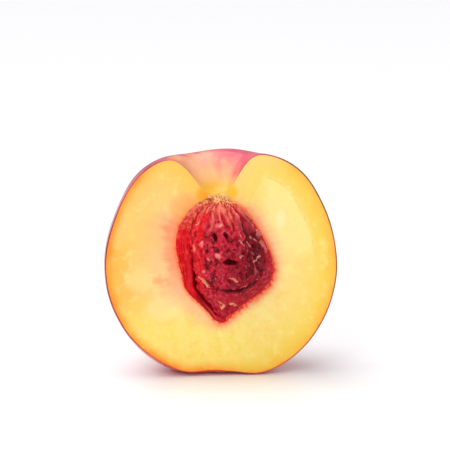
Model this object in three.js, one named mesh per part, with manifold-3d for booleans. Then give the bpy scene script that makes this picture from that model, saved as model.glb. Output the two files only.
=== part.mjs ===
// Half a nectarine with its stone, cut from stem end to blossom end and standing on a small flat spot.
//
// Millimetres, +Z up. The origin is in the middle of the flat spot, on the surface that the half stands
// on. The cut face looks towards -Y and leans back a little; +X is to the right of someone facing it.
//
// Both shapes are worked out in the fruit's own frame: its centre at the origin, the stem end up +Z, the
// cut along Y = 0 and the half that is kept behind it. On the fruit, "down" is the angle from the stem end
// (0 to 180 degrees) and "round" is the angle about the axis from stem to blossom end, from +X towards +Y.

import * as THREE from 'three';
import { mergeVertices } from 'three/addons/utils/BufferGeometryUtils.js';
import Module from 'manifold-3d';

// ---- Driving dimensions: millimetres and degrees ----

const FRUIT = { radius: 34.2, cheekDrop: 2.4 };           // the cheek behind the cut is flatter than the sides
const SHOULDER = { rise: 2.0, back: 2.4, skew: 0.7, at: 38, width: 19 };        // the swelling round the stem
const STEM_HOLLOW = { depth: 13.0, edge: 14.5, softness: 2.6, lean: -2.9 };     // the pit the stem grew in
const BLOSSOM_DIMPLE = { depth: 3.2, edge: 13.0, softness: 3.8 };
const SUTURE = {                                          // the groove down the left side, deeper low down
  round: 180, depth: 0.85, width: 7.5, lowDepth: 1.1, lowAt: 157, lowSpan: 22,
};
const LIP = {                                             // the skin swells on both sides of the suture
  width: 27, rise: 0.5, topRise: 0.6, topAt: 35, topSpan: 22, lowRise: 1.3, lowAt: 150, lowSpan: 28,
};
const HEEL = { back: 2.6, side: 0.5, at: 146, width: 24 };                      // the full, low back

const HOLLOW = {                                          // where the stone grew
  length: 36.9, width: 27.8, depth: 19.2, middle: 1.95, keel: 0,
  axis: -0.4, bulge: 2.5, bulgeAt: -3.0, bulgeSpan: 9.5,
};
const STONE = {                                           // lies against the right of its hollow
  length: 35.3, width: 23.7, depth: 16.8, middle: 1.95, keel: 0.2,
  axis: -0.4, bulge: 4.0, bulgeAt: -2.0, bulgeSpan: 11.0,
};
const TIP = { start: -0.4, end: -0.95, taper: 0.5 };      // of the half length: both narrow to a point below

const STANCE = { leanBack: 4, centreHeight: 32.5, behindCentre: 9 };            // how the half stands

const FRUIT_STEPS = { down: 54, round: 64 };
const HOLLOW_STEPS = { down: 24, round: 36 };
const STONE_STEPS = { down: 30, round: 36 };
const BLOCK = 120;                                        // side of the blocks that cut the fruit

const FLESH_COLOUR = 0xf7c968;
const STONE_COLOUR = 0x86202f;

// ---- Curves ----

const { degToRad, smoothstep } = THREE.MathUtils;
const bell = (x, at, width) => Math.exp(-(((x - at) / width) ** 2));
const ramp = (x) => 1 / (1 + Math.exp(-x));

// Distance from the fruit's centre to its skin.
function skinRadius(down, round) {
  const ring = Math.sin(degToRad(down));
  const across = Math.cos(degToRad(round));
  const behind = Math.sin(degToRad(round)) ** 2;

  const body = FRUIT.radius - FRUIT.cheekDrop * behind * ring ** 2;
  const shoulder = (SHOULDER.rise + SHOULDER.back * behind ** 2 * (1 + SHOULDER.skew * across))
    * bell(down, SHOULDER.at, SHOULDER.width);
  const heel = (HEEL.back * behind + HEEL.side * (1 + across) / 2) * bell(down, HEEL.at, HEEL.width);

  // The stem hollow's axis leans towards -X.
  const lean = degToRad(STEM_HOLLOW.lean);
  const alongHollow = ring * across * Math.sin(lean) + Math.cos(degToRad(down)) * Math.cos(lean);
  const fromHollow = THREE.MathUtils.radToDeg(Math.acos(Math.min(alongHollow, 1)));
  const stemHollow = STEM_HOLLOW.depth * ramp((STEM_HOLLOW.edge - fromHollow) / STEM_HOLLOW.softness);
  const dimple = BLOSSOM_DIMPLE.depth
    * ramp((BLOSSOM_DIMPLE.edge - (180 - down)) / BLOSSOM_DIMPLE.softness);

  // The skin swells towards the suture, most at both ends, and drops into the groove itself.
  const turn = THREE.MathUtils.euclideanModulo(round - SUTURE.round + 180, 360) - 180;
  const fromSuture = Math.abs(turn) * Math.max(ring, 0.3);
  const lip = LIP.rise + LIP.topRise * bell(down, LIP.topAt, LIP.topSpan)
    + LIP.lowRise * bell(down, LIP.lowAt, LIP.lowSpan);
  const swell = lip * bell(fromSuture, 0, LIP.width);
  const depth = SUTURE.depth + lip + SUTURE.lowDepth * bell(down, SUTURE.lowAt, SUTURE.lowSpan);
  const groove = depth * bell(fromSuture, 0, SUTURE.width);

  return body + shoulder + heel - stemHollow - dimple + (swell - groove) * Math.sqrt(ring);
}

function skinPoint(down, round) {
  const direction = new THREE.Vector3().setFromSphericalCoords(1, degToRad(down), degToRad(round));
  return new THREE.Vector3(direction.z, direction.x, direction.y).multiplyScalar(skinRadius(down, round));
}

// A point of the stone or its hollow: an egg that narrows to a tip below, whose middle line bulges
// towards +X. A keel above 0 draws the edges in the cut plane out to a ridge.
function eggPoint(egg, down, round) {
  const height = Math.cos(degToRad(down));
  const taper = 1 - TIP.taper * smoothstep(-height, -TIP.start, -TIP.end);
  const girth = Math.sin(degToRad(down)) * taper;
  const behind = Math.sin(degToRad(round));
  const z = egg.middle + egg.length / 2 * height;
  const middleLine = egg.axis + egg.bulge * bell(z, egg.bulgeAt, egg.bulgeSpan);
  return new THREE.Vector3(
    middleLine + egg.width / 2 * girth * Math.cos(degToRad(round)),
    egg.depth / 2 * girth * behind * Math.abs(behind) ** egg.keel,
    z,
  );
}

// ---- Solids ----

// A closed surface from its two ends and the rings of points between them.
function closedSurface(pointAt, steps) {
  const points = [pointAt(0, 0)];
  for (let i = 1; i < steps.down; i += 1) {
    for (let j = 0; j < steps.round; j += 1) {
      points.push(pointAt((180 * i) / steps.down, (360 * j) / steps.round));
    }
  }
  points.push(pointAt(180, 0));

  const last = points.length - 1;
  const onRing = (i, j) => 1 + (i - 1) * steps.round + (j % steps.round);
  const faces = [];
  for (let j = 0; j < steps.round; j += 1) {
    faces.push(0, onRing(1, j), onRing(1, j + 1));
    for (let i = 1; i < steps.down - 1; i += 1) {
      faces.push(onRing(i, j), onRing(i + 1, j), onRing(i + 1, j + 1));
      faces.push(onRing(i, j), onRing(i + 1, j + 1), onRing(i, j + 1));
    }
    faces.push(last, onRing(steps.down - 1, j + 1), onRing(steps.down - 1, j));
  }
  return new THREE.BufferGeometry().setFromPoints(points).setIndex(faces);
}

const wasm = await Module();
wasm.setup();

function toSolid(geometry) {
  const bare = geometry.clone();
  bare.deleteAttribute('normal');
  bare.deleteAttribute('uv');
  const merged = mergeVertices(bare);
  return new wasm.Manifold(new wasm.Mesh({
    numProp: 3,
    vertProperties: Float32Array.from(merged.attributes.position.array),
    triVerts: Uint32Array.from(merged.index.array),
  }));
}

function toGeometry(solid) {
  const { vertProperties, triVerts } = solid.getMesh();
  const geometry = new THREE.BufferGeometry();
  geometry.setAttribute('position', new THREE.BufferAttribute(vertProperties, 3));
  geometry.setIndex(new THREE.BufferAttribute(triVerts, 1));
  geometry.computeVertexNormals();
  return geometry;
}

// The whole fruit, less the half in front of the cut, the stone's hollow and what is below the surface
// that it stands on.
function halfFruitGeometry(stance) {
  const whole = toSolid(closedSurface(skinPoint, FRUIT_STEPS));
  const frontHalf = new THREE.BoxGeometry(BLOCK, BLOCK, BLOCK).translate(0, -BLOCK / 2, 0);
  const hollow = closedSurface((down, round) => eggPoint(HOLLOW, down, round), HOLLOW_STEPS);
  const ground = new THREE.BoxGeometry(BLOCK, BLOCK, BLOCK)
    .translate(0, 0, -BLOCK / 2)
    .applyMatrix4(stance.clone().invert());
  return toGeometry(whole.subtract(toSolid(frontHalf)).subtract(toSolid(hollow)).subtract(toSolid(ground)));
}

function stoneGeometry() {
  const geometry = closedSurface((down, round) => eggPoint(STONE, down, round), STONE_STEPS);
  geometry.computeVertexNormals();
  return geometry;
}

// ---- The part ----

const nectarine = new THREE.Group();
nectarine.rotation.x = -degToRad(STANCE.leanBack);
nectarine.position.set(0, -STANCE.behindCentre, STANCE.centreHeight);
nectarine.updateMatrix();

const halfFruit = new THREE.Mesh(
  halfFruitGeometry(nectarine.matrix),
  new THREE.MeshStandardMaterial({ color: FLESH_COLOUR, roughness: 0.4, metalness: 0 }),
);
halfFruit.name = 'half_fruit';

const stone = new THREE.Mesh(
  stoneGeometry(),
  new THREE.MeshStandardMaterial({ color: STONE_COLOUR, roughness: 0.5, metalness: 0 }),
);
stone.name = 'stone';

nectarine.add(halfFruit, stone);

const part = new THREE.Group();
part.add(nectarine);

export default part;
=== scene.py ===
"""Half a nectarine with its stone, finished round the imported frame: the cut flesh and the hollow in it,
the skin, the stone and the fibres torn between stone and flesh, on a pale floor in soft light.

Shapes are worked out in millimetres in the fruit's own frame: its centre at the origin, the stem end up
+Z, the cut in the plane Y = 0 and the half that is kept behind it. "down" is the angle from the stem
end and "turn" the angle round the cut face, both from +Z, a turn clockwise as seen from the front. Each
shape is then leaned back, moved to where the frame has it and put into a mesh in metres.
"""

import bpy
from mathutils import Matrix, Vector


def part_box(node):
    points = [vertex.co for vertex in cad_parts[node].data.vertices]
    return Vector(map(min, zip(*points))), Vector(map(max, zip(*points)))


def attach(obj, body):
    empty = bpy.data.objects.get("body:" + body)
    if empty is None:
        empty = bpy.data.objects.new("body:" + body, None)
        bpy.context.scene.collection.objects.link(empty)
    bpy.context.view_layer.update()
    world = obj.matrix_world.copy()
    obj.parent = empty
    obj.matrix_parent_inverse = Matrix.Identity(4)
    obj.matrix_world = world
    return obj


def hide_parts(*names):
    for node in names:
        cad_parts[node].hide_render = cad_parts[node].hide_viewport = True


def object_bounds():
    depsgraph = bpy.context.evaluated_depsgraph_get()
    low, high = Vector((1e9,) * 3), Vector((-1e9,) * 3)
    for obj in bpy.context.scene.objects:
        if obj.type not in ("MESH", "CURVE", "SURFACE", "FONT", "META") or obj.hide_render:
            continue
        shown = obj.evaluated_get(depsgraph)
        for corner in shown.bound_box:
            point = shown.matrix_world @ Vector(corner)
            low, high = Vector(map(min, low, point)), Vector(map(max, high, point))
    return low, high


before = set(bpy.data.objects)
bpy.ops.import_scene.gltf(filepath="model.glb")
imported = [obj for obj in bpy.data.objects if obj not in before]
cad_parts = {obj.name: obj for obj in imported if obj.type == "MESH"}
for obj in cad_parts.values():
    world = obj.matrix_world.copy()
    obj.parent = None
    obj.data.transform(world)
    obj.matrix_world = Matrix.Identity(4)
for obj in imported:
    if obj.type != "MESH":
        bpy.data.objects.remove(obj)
CAD_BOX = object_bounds()

from types import SimpleNamespace as Sizes

import bpy
import numpy as np
from bpy.props import FloatProperty, FloatVectorProperty, IntProperty, PointerProperty
from mathutils import Vector

bl_info = {
    "name": "Cut Nectarine",
    "version": (1, 0, 0),
    "blender": (4, 5, 0),
    "location": "3D View > Sidebar > Nectarine",
    "description": "Builds half a nectarine with its stone, and a pale studio round it",
    "category": "Add Mesh",
}

MM = 0.001
BACK = np.array([0.0, 1.0, 0.0])

# ---- Shape: millimetres and degrees ----

LEAN_BACK = 4.0
SHOULDER = Sizes(rise=2.0, back=2.4, skew=0.7, at=38, width=19)
STEM_HOLLOW = Sizes(edge=14.5, softness=2.6, lean=-2.9)
BLOSSOM_DIMPLE = Sizes(depth=3.2, edge=13.0, softness=3.8)
SUTURE = Sizes(depth=0.4, width=7.5, low_depth=0.9, low_at=157, low_span=22)
LIP = Sizes(width=27, rise=0.3, top_rise=0.6, top_at=35, top_span=22,
            low_rise=1.4, low_at=150, low_span=28)
HEEL = Sizes(back=2.6, side=0.5, at=146, width=24)
HOLLOW = Sizes(length=36.9, width=27.8, depth=19.2, middle=1.95, keel=0.0, axis=-0.4,
               bulge=2.5, bulge_at=-3.0, bulge_span=9.5)
STONE = Sizes(length=35.3, width=23.7, depth=16.8, middle=1.95, keel=0.2, axis=-0.4,
              bulge=4.0, bulge_at=-2.0, bulge_span=11.0)
TIP = Sizes(start=0.4, end=0.95, taper=0.5)

# The hollow's edge: where it holds on to the stone, and how ragged it is, with the swells round it of
# its coarse and fine tears and its sway.
CLING = Sizes(inside=0.9, start=12, end=174, fade=10)
TORN = Sizes(depth=0.12, low_depth=0.5, low_at=128, low_span=30, sway=0.1, rough=(16, 34, 5))

SHELF = 0.985              # where the hollow's wall starts to reach for the stone, as a share of its edge
CUT_SWELLS = ((4.5, 0.06, 11), (1.3, 0.03, 12))           # of the cut face: size, height and seed
WALL_FIBRES = np.array([9, 9, 2.2])                       # round the hollow's axis twice, and along it
CRAG = np.array([2.3, 2.3, 3.4])                          # the stone's net of furrows is longer than wide
FAN = np.array([5.2, 5.2, 1 / 9])                         # its ridges: round its axis twice, and along it

# Where each kind of noise starts.
SEEDS = Sizes(edge=(3, 4, 6), skin=5, fibres=17, wall=(21, 22), warp=(31, 32, 33), crags=34,
              ridges=(37, 38), furrow=39, shreds=41, lumps=44, grain=46)

# Round the hollow, by turn in degrees: how far the red has run into the flesh, how wide the peach halo
# is in millimetres, and how much flesh has stayed between the hollow's wall and the stone.
BLUSH = ((0, 0.3), (20, 0.35), (45, 0.2), (88, 0.25), (102, 0.8), (135, 1.0), (180, 0.8), (215, 0.4),
         (262, 0.5), (315, 0.6), (342, 0.4), (360, 0.3))
HALO = ((0, 2), (40, 5.5), (75, 5), (100, 3.5), (140, 4), (185, 4), (225, 7), (250, 11), (275, 14),
        (300, 12), (325, 8), (345, 4), (360, 2))
FILL = ((0, 1.5), (185, 1.3), (205, 0.6), (232, 0.6), (255, 0.85), (275, 1.2), (300, 1.45), (360, 1.5))

# Rows of the half fruit's grid, from the bottom of the hollow to the middle of the back.
ROWS = Sizes(hollow=66, corner=3, cut=62, rim=3, skin=104)
COLUMNS = 384
SKIN_START = 0.75              # degrees behind the cut plane
SKIN_SWELLS = Sizes(across=3.4, shift=7)                  # of the noise from the middle of the fruit out
STONE_GRID = Sizes(rows=236, columns=404)

# Pits in the front of the stone: across, up, half width, half height, depth and tilt.
PITS = (
    (-2.6, 9.3, 0.6, 1.2, 1.9, 14), (0.6, 10.0, 0.65, 1.0, 1.7, 20),
    (2.8, 5.8, 0.8, 0.5, 0.8, -10), (1.7, 2.0, 2.0, 0.8, 2.6, -2),
    (-2.6, 16.2, 0.35, 1.6, 0.9, 12), (-0.4, 14.9, 0.3, 1.8, 0.6, 4),
    (3.1, 12.4, 0.35, 1.9, 0.9, 10), (6.4, 11.2, 0.6, 2.4, 1.0, 14),
    (1.7, 16.6, 0.3, 0.9, 0.6, -4), (4.6, 14.6, 0.3, 1.5, 0.6, 22),
    (-4.9, 5.2, 0.4, 1.4, 0.6, 8), (5.6, 5.0, 0.5, 1.5, 0.8, 12),
    (-3.6, -1.6, 0.7, 0.45, 0.6, 30), (7.2, 0.2, 0.9, 0.6, 0.8, 24),
    (0.4, -2.2, 1.2, 0.4, 0.6, -12),
)

# The furrow that curls under the pits and up the right side: part of a ring round one point.
FURROW = Sizes(across=2.5, up=3.0, radius=10.1, start=-118, end=62, width=0.75,
               depth=1.6, side_depth=0.7, deepest=-78, span=34)

# Patches of colour on the cut flesh and round the stalk's place, and patches of painted shade on the
# right of the stone and of its crown: across, up, half width, half height, colour and share of it.
FLESH_PATCHES = (
    (-19.5, 10.0, 8.5, 8.5, (237, 196, 108), 0.7),
    (-29.0, 13.0, 5.5, 9.5, (240, 202, 116), 0.75),
    (-24.0, -3.5, 5.5, 4.5, (247, 222, 148), 0.45),
    (-17.0, -12.5, 6.5, 4.5, (247, 226, 156), 0.5),
)
STALK_PATCHES = (
    (-9.5, 17.0, 7.0, 5.5, (242, 170, 84), 0.65),
    (-4.6, 21.0, 3.4, 3.4, (246, 160, 14), 0.95),
    (3.2, 21.6, 2.4, 3.0, (244, 190, 34), 0.9),
)
STONE_PAINTED_SHADE = (
    (7.0, -2.0, 9.0, 15.0, (108, 2, 20), 0.6),
    (9.2, 4.5, 4.0, 8.5, (92, 0, 12), 0.85),
)
CROWN_PAINTED_SHADE = ((6.6, 12.8, 3.4, 4.2, (120, 10, 28), 0.5),)

# Torn fibres: rings and sides of each. Those in the gap start and run so many degrees down the stone,
# at so many degrees round it; those from the stalk also spread and rise above it.
FIBRE_STEPS = 30
FIBRE_SIDES = 6
WELD_REACH = 1e-6              # metres
GAP = Sizes(start=(8, 52), run=(24, 78), lowest=158, around=(164, 200), drift=7)
STALK = Sizes(run=(14, 34), around=(190, 350), drift=5, across=-0.6, spread=3.0, rise=1.5)

# Shreds that cling to the front of the stone: across, up, half length, half width, slope and height. The
# pink ones are partly pink flesh and partly painted highlights of wet glints.
SHREDS = {
    "pale": (
        (3.2, -3.2, 1.0, 0.36, -48, 0.45), (2.2, -2.6, 0.7, 0.25, -8, 0.25),
        (-5.2, -4.6, 1.5, 0.38, -50, 0.45), (-6.6, -3.0, 0.9, 0.25, -20, 0.3),
        (0.0, -11.6, 1.0, 0.6, 70, 0.5), (-0.8, -10.5, 1.0, 0.3, -30, 0.3),
        (3.6, -11.2, 0.8, 0.4, -38, 0.45), (2.4, -10.6, 0.9, 0.22, 8, 0.3),
        (-4.4, 2.8, 0.6, 0.16, -50, 0.3), (-8.3, 5.6, 1.4, 0.24, 86, 0.35),
        (-7.3, 12.9, 0.9, 0.22, 60, 0.3), (11.6, 7.4, 0.6, 0.2, 30, 0.3),
    ),
    # Partly pink flesh, partly painted highlights where the wet stone glints
    "pink": (
        (-5.7, -0.9, 0.5, 0.4, 20, 0.3), (-1.7, 3.8, 1.2, 0.7, -62, 0.4),
        (10.3, 3.3, 1.1, 0.24, 52, 0.35), (9.3, 2.3, 0.8, 0.3, 16, 0.25),
        (-6.4, 7.2, 0.9, 0.5, 80, 0.3), (11.1, 10.2, 1.3, 0.5, -70, 0.3),
        (9.0, 12.4, 0.8, 0.24, -70, 0.3), (8.2, 9.1, 0.5, 0.25, -60, 0.3),
        (7.4, 7.2, 1.0, 0.34, -58, 0.3), (4.8, 10.0, 1.3, 0.24, -66, 0.3),
        (5.0, 3.7, 0.8, 0.4, 40, 0.25), (13.0, 5.2, 1.2, 0.3, -80, 0.3),
        (12.4, 6.4, 1.4, 0.5, -75, 0.3), (9.6, 8.0, 0.6, 0.2, -55, 0.3),
        (6.4, 9.6, 0.5, 0.25, 60, 0.3), (5.4, 7.6, 1.1, 0.3, -55, 0.3),
        (4.4, 15.4, 1.1, 0.22, -50, 0.3), (-1.0, 12.8, 1.3, 0.7, 12, 0.3),
        (10.2, -3.4, 0.9, 0.14, 42, 0.25), (6.2, -5.2, 0.9, 0.2, 10, 0.25),
    ),
    "red": (
        (-5.3, 14.6, 2.2, 0.8, 66, 0.15), (-6.5, 10.6, 2.6, 0.7, 80, 0.15),
    ),
}

# Lights: kind, offset from the fruit's centre in metres, and width in metres, or in degrees for a sun.
LIGHTS = {
    "key": ("AREA", (-0.7, -1.0, 0.8), 0.9),
    "front": ("AREA", (0.35, -1.2, 0.3), 0.9),
    "overhead": ("SUN", (-0.35, 0.3, 1.0), 55),
    "glint": ("AREA", (-0.45, -0.75, 0.95), 0.08),
}
AIM = Sizes(above=11.94, right=1.08)      # from the fruit's centre to the middle of the picture


def bell(x, at, width):
    """One at the place "at", falling away to nothing over about twice the width on both sides."""
    return np.exp(-(((x - at) / width) ** 2))


def ramp(x):
    """Nothing far below zero, one far above it."""
    return 1 / (1 + np.exp(-x))


def step(x, low, high):
    """Nothing at low, one at high, and a smooth S between; low may be the larger."""
    share = np.clip((x - low) / (high - low), 0, 1)
    return share * share * (3 - 2 * share)


def unit(vectors):
    """The vectors at length one; a vector of no length stays as it is."""
    length = np.linalg.norm(vectors, axis=-1, keepdims=True)
    return vectors / np.maximum(length, 1e-12)


def wander(points, seed):
    """Smooth noise of about -1 to 1 that changes over a distance of about 1: a random slope at each
    corner of a grid of unit cells, and at a point the eight nearest slopes' heights, faded into each
    other."""
    chance = np.random.default_rng(seed)
    order = chance.permutation(256)
    slopes = unit(chance.normal(size=(256, 3)))
    cell = np.floor(points).astype(int)
    inside = points - cell
    fade = inside ** 3 * (inside * (inside * 6 - 15) + 10)
    height = np.zeros(points.shape[:-1])
    for corner in np.ndindex(2, 2, 2):
        at = (cell + corner) & 255
        pick = order[(order[(order[at[..., 0]] + at[..., 1]) & 255] + at[..., 2]) & 255]
        weight = np.prod(np.where(corner, fade, 1 - fade), axis=-1)
        height += weight * np.sum(slopes[pick] * (inside - corner), axis=-1)
    return 1.7 * height


def crags(points, seed):
    """Ridged noise in four sizes, about 0 in creases to 1 on crests: one less the size of the noise,
    squared, each size half as large as the one before and weaker where that one is low."""
    total = np.zeros(points.shape[:-1])
    weight = np.ones_like(total)
    for octave, share in enumerate((0.5, 0.3, 0.2, 0.12)):
        ridge = (1 - np.abs(wander(points * 2 ** octave, seed + octave))) ** 2
        total += share * weight * ridge
        weight = np.clip(1.5 * ridge, 0, 1)
    return total


def vectors(x, y, z):
    """Vectors of these parts, each an array or one number."""
    return np.stack(np.broadcast_arrays(x, y, z), -1)


def circle(angle, third=0.0):
    """The cosine and sine of each angle, with a third number beside them."""
    return vectors(np.cos(angle), np.sin(angle), third)


def skin_radius(way, sizes):
    """Distance from the fruit's centre to its skin along each unit vector: a ball with a flatter cheek,
    a shoulder and a heel, less the stem hollow and the blossom dimple, with the suture's groove and
    lips."""
    down = np.degrees(np.arccos(np.clip(way[..., 2], -1, 1)))
    ring = np.hypot(way[..., 0], way[..., 1])
    across = way[..., 0] / np.maximum(ring, 1e-9)
    behind = 1 - across ** 2

    body = sizes.radius - sizes.cheek_drop * behind * ring ** 2
    shoulder = ((SHOULDER.rise + SHOULDER.back * behind ** 2 * (1 + SHOULDER.skew * across))
                * bell(down, SHOULDER.at, SHOULDER.width))
    heel = (HEEL.back * behind + HEEL.side * (1 + across) / 2) * bell(down, HEEL.at, HEEL.width)

    stem_hollow = sizes.stem_depth * ramp((STEM_HOLLOW.edge - from_stem(way)) / STEM_HOLLOW.softness)
    dimple = BLOSSOM_DIMPLE.depth * ramp((BLOSSOM_DIMPLE.edge - (180 - down)) / BLOSSOM_DIMPLE.softness)

    off_suture = np.degrees(np.arctan2(np.abs(way[..., 1]), -way[..., 0])) * np.maximum(ring, 0.3)
    lip = (LIP.rise + LIP.top_rise * bell(down, LIP.top_at, LIP.top_span)
           + LIP.low_rise * bell(down, LIP.low_at, LIP.low_span))
    depth = SUTURE.depth + lip + SUTURE.low_depth * bell(down, SUTURE.low_at, SUTURE.low_span)
    suture = lip * bell(off_suture, 0, LIP.width) - depth * bell(off_suture, 0, SUTURE.width)

    uneven = sizes.unevenness * wander(way * SKIN_SWELLS.across + SKIN_SWELLS.shift, SEEDS.skin)
    return body + shoulder + heel - stem_hollow - dimple + suture * np.sqrt(ring) + uneven


def from_stem(way):
    """Angle in degrees from the middle line of the stem hollow, which leans towards -X."""
    lean = np.radians(STEM_HOLLOW.lean)
    return np.degrees(np.arccos(np.clip(way[..., 0] * np.sin(lean) + way[..., 2] * np.cos(lean), -1, 1)))


def egg_girth(height):
    """Width of the stone or hollow at a height of -1 (tip) to 1 (stem end), as a share of the widest: a
    circle, drawn in towards the tip."""
    taper = 1 - TIP.taper * step(-height, TIP.start, TIP.end)
    return np.sqrt(np.maximum(1 - height ** 2, 0)) * taper


def egg_axis(egg, z):
    """How far to +X the middle line of the stone or hollow lies at each height."""
    return egg.axis + egg.bulge * bell(z, egg.bulge_at, egg.bulge_span)


def egg_point(egg, down, around):
    """Points of the stone or hollow at an angle down from its stem end and an angle round its own axis,
    from +X towards +Y. A keel above 0 draws the two edges in the cut plane out to a ridge."""
    height = np.cos(down)
    z = egg.middle + egg.length / 2 * height
    girth = egg_girth(height)
    behind = np.sin(around)
    x = egg_axis(egg, z) + egg.width / 2 * girth * np.cos(around)
    y = egg.depth / 2 * girth * behind * np.abs(behind) ** egg.keel
    return vectors(x, y, z)


def leaned(points):
    """Points of the fruit's own frame, leaned back about X."""
    lean = np.radians(LEAN_BACK)
    x, y, z = points[..., 0], points[..., 1], points[..., 2]
    return vectors(x, y * np.cos(lean) + z * np.sin(lean), z * np.cos(lean) - y * np.sin(lean))


def in_frame(points):
    """Points of the fruit's own frame in the part's frame, in metres."""
    return leaned(points) * MM + np.array(fruit_centre())


def fruit_centre():
    """Where the frame has the fruit's centre: the place that brings the top, the back and the two sides
    of the skin to the sides of the box of half_fruit."""
    down = np.linspace(0, np.pi, 181)[:, None]
    around = np.linspace(0, np.pi, 181)[None]
    way = vectors(np.sin(down) * np.cos(around), np.sin(down) * np.sin(around), np.cos(down))
    skin = leaned(way * skin_radius(way, read(bpy.context.scene.nectarine_half))[..., None]) * MM
    low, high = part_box("half_fruit")
    middle = (low.x + high.x - skin[..., 0].min() - skin[..., 0].max()) / 2
    return Vector((middle, high.y - skin[..., 1].max(), high.z - skin[..., 2].max()))


def read(settings):
    """The values of a group of settings: lengths in millimetres, colours as tuples, numbers as they
    are."""
    values = {}
    for item in settings.bl_rna.properties:
        if item.identifier in ("rna_type", "name"):
            continue
        value = getattr(settings, item.identifier)
        if getattr(item, "array_length", 0):
            value = tuple(value)
        elif item.unit == "LENGTH":
            value = value / MM
        values[item.identifier] = value
    return Sizes(**values)


# ---- Grids ----

def grid_normals(points):
    """Unit normals of a grid whose columns close on themselves: across both differences of its
    neighbours."""
    along = np.gradient(points, axis=0)
    round_it = np.roll(points, -1, axis=1) - np.roll(points, 1, axis=1)
    return unit(np.cross(round_it, along))


def put_grid(name, rings, first, last, attributes, row_kinds, materials):
    """A closed mesh of rings of points, with a single point before the first and after the last ring,
    its numbers for each point, and for each row the place of its material. Faces point outwards where
    the rings turn clockwise to someone who looks at the first point from outside."""
    rows, columns = rings.shape[:2]
    points = np.concatenate([first[None], rings.reshape(-1, 3), last[None]])
    one = 1 + np.arange(rows * columns).reshape(rows, columns)
    side = np.roll(one, -1, axis=1)
    quads = np.stack([one[:-1], side[:-1], side[1:], one[1:]], -1).reshape(-1, 4)
    start = vectors(0, side[0], one[0])
    end = vectors(len(points) - 1, one[-1], side[-1])
    kinds = np.repeat([*row_kinds[1:], row_kinds[0], row_kinds[-1]], columns)
    return put_mesh(name, points, quads.tolist() + start.tolist() + end.tolist(), kinds, materials,
                    {label: with_ends(values) for label, values in attributes.items()})


def with_ends(values):
    """A grid's values as one list, with the first ring's mean in front and the last ring's behind."""
    flat = values.reshape((-1,) + values.shape[2:])
    return np.concatenate([values[0].mean(0, keepdims=True), flat, values[-1].mean(0, keepdims=True)])


def put_mesh(name, points, faces, kinds, materials, attributes):
    """A smooth mesh in the scene, with the place of each face's material, and a number, or three, for
    each point under each attribute's name."""
    mesh = bpy.data.meshes.new(name)
    mesh.from_pydata(points.tolist(), [], faces)
    for material in materials:
        mesh.materials.append(material)
    mesh.polygons.foreach_set("material_index", kinds.astype(np.int32))
    mesh.polygons.foreach_set("use_smooth", np.ones(len(faces), bool))
    for label, values in attributes.items():
        kind, field = ("FLOAT_VECTOR", "vector") if values.ndim == 2 else ("FLOAT", "value")
        attribute = mesh.attributes.new(label, kind, "POINT")
        attribute.data.foreach_set(field, values.astype(np.float32).ravel())
    mesh.update()
    return show(name, mesh)


def show(name, data):
    """A new object of that mesh, light or camera in the scene."""
    made = bpy.data.objects.new(name, data)
    bpy.context.scene.collection.objects.link(made)
    return made


# ---- The half fruit ----

def even_turns(sizes):
    """Angles round the cut face, spaced evenly by the length of the rim and of the hollow's edge
    together."""
    fine = np.linspace(0, 2 * np.pi, 4001)
    outlines = rim_outline(fine, sizes), egg_outline(HOLLOW, fine)
    run = sum(length_share(outline) for outline in outlines) / len(outlines)
    return np.interp(np.arange(COLUMNS) / COLUMNS, run, fine)


def length_share(outline):
    """Length along an outline up to each of its points, as a share of the whole."""
    run = np.concatenate([[0], np.cumsum(np.linalg.norm(np.diff(outline, axis=0), axis=1))])
    return run / run[-1]


def rim_outline(turn, sizes):
    """Points of the skin in the cut plane."""
    way = vectors(np.sin(turn), 0, np.cos(turn))
    return way * skin_radius(way, sizes)[:, None]


def egg_outline(egg, turn):
    """Points of the stone or hollow in the cut plane."""
    z = egg.middle + egg.length / 2 * np.cos(turn)
    x = egg_axis(egg, z) + egg.width / 2 * egg_girth(np.cos(turn)) * np.sign(np.sin(turn))
    return vectors(x, 0, z)


def hollow_edge(turn, inside):
    """Points of the hollow's edge in the cut plane: drawn in to the stone from the stem end round the
    right side to the tip, where the flesh clings to it, and torn out a little everywhere. "inside" is
    how far it reaches into the stone where it clings."""
    wide = egg_outline(HOLLOW, turn)
    degrees = np.degrees(turn)
    cling = (step(degrees, CLING.start - CLING.fade, CLING.start + CLING.fade)
             * step(degrees, CLING.end, CLING.end - CLING.fade))
    held = egg_outline(STONE, turn) - inside * outward(wide)
    return wide + (held - wide) * cling[:, None] + outward(wide) * raggedness(turn)[:, None]


def by_turn(table, turn):
    """A value read off a table of (degrees, value) at each turn, straight between its points."""
    degrees, values = zip(*table)
    return np.interp(np.degrees(turn), degrees, values)


def outward(outline):
    """Unit normals of a closed outline in the cut plane, away from its inside."""
    along = np.roll(outline, -1, axis=0) - np.roll(outline, 1, axis=0)
    return unit(vectors(-along[:, 2], 0, along[:, 0]))


def raggedness(turn):
    """How far the hollow's edge is torn out at each turn: fine and deep at the lower right, slight
    elsewhere, with a slow sway."""
    coarse, fine, slow = (wander(circle(turn) * TORN.rough[k], SEEDS.edge[k]) for k in range(3))
    depth = TORN.depth + TORN.low_depth * bell(np.degrees(turn), TORN.low_at, TORN.low_span)
    return depth * (0.5 * coarse + 0.5 * fine) + TORN.sway * slow


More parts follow.
